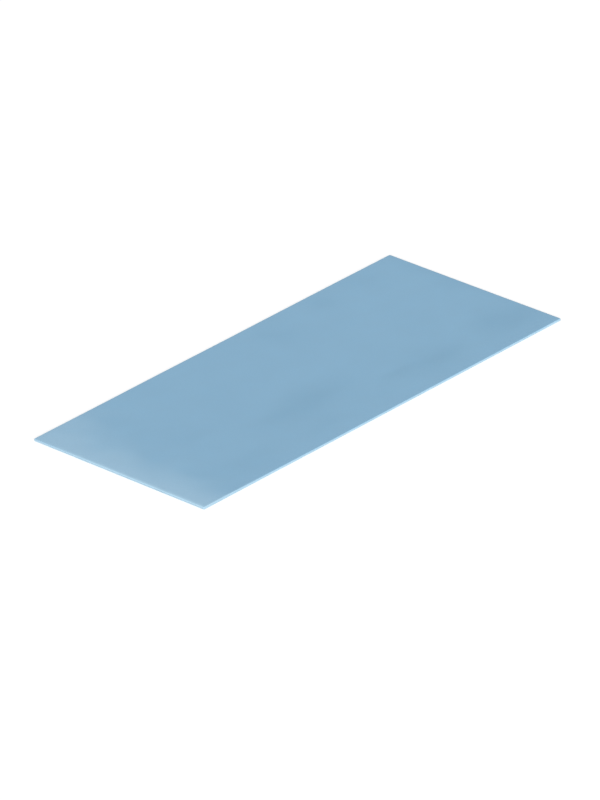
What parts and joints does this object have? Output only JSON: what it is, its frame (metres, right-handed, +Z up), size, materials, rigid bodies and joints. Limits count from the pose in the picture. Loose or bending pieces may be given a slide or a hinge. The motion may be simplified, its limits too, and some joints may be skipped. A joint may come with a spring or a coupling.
{
  "type": "thermal pad sheet",
  "caption": "Flat rectangular sheet of soft pale blue ceramic-filled silicone, laid between warm electronic parts and a heatsink to fill the gap and carry their heat away.",
  "frame": {"origin": "middle of the underside, on the surface that the sheet lies on", "axes": "+X along the 200 mm length, +Y across the 100 mm width, +Z up through the 1.0 mm thickness"},
  "size_m": [0.2, 0.1, 0.001],
  "materials": {
    "filled_silicone": "satin"
  },
  "bodies": {
    "root": {"pad_sheet": "filled_silicone"}
  },
  "joints": []
}
